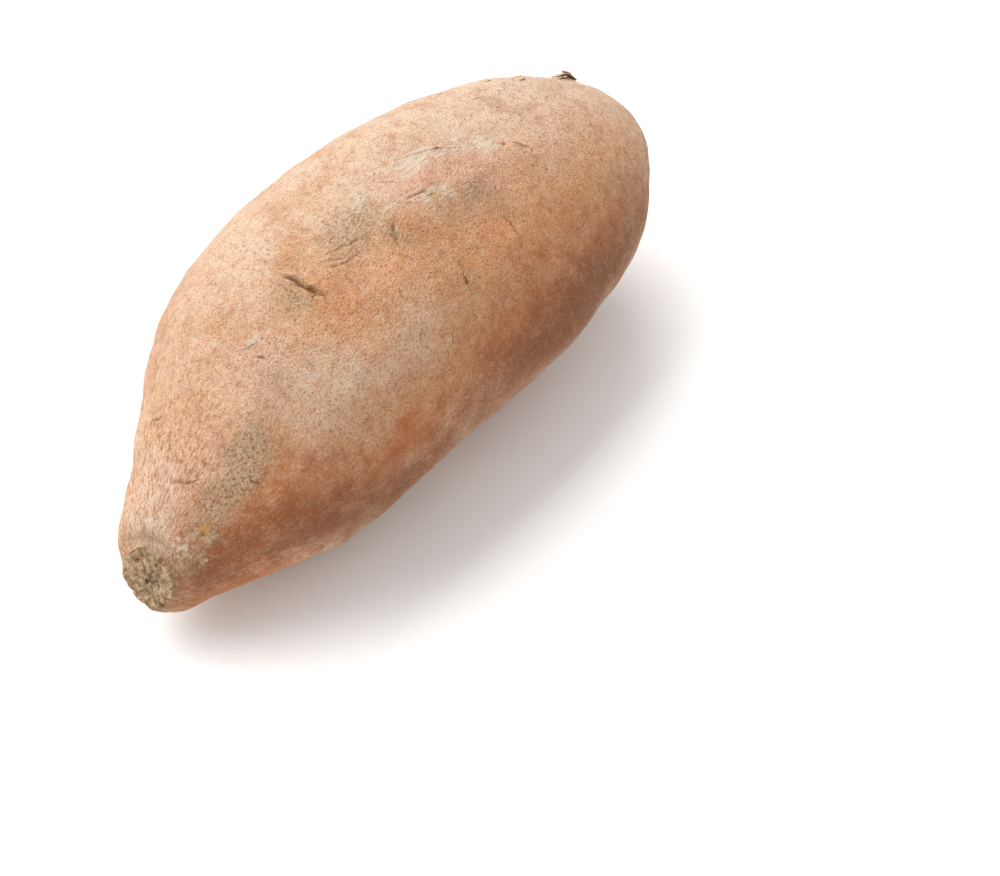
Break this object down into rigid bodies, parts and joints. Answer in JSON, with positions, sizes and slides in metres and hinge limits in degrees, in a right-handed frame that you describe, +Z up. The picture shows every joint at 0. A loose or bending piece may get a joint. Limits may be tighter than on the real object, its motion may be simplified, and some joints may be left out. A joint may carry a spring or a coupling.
{
  "type": "sweet potato",
  "caption": "Whole sweet potato with a narrow neck, a broken corky stem end and a blunt root end, lying on the slightly flattened belly it rests on.",
  "frame": {"origin": "on the surface it rests on, under the middle of its box", "axes": "+X along the root from the stem scar towards the blunt end, +Z up"},
  "size_m": [0.1738, 0.078, 0.0728],
  "materials": {
    "skin": "matte orange-tan root skin with grey-brown cork at the scars"
  },
  "bodies": {
    "root": {"sweet_potato": "skin"}
  },
  "joints": []
}
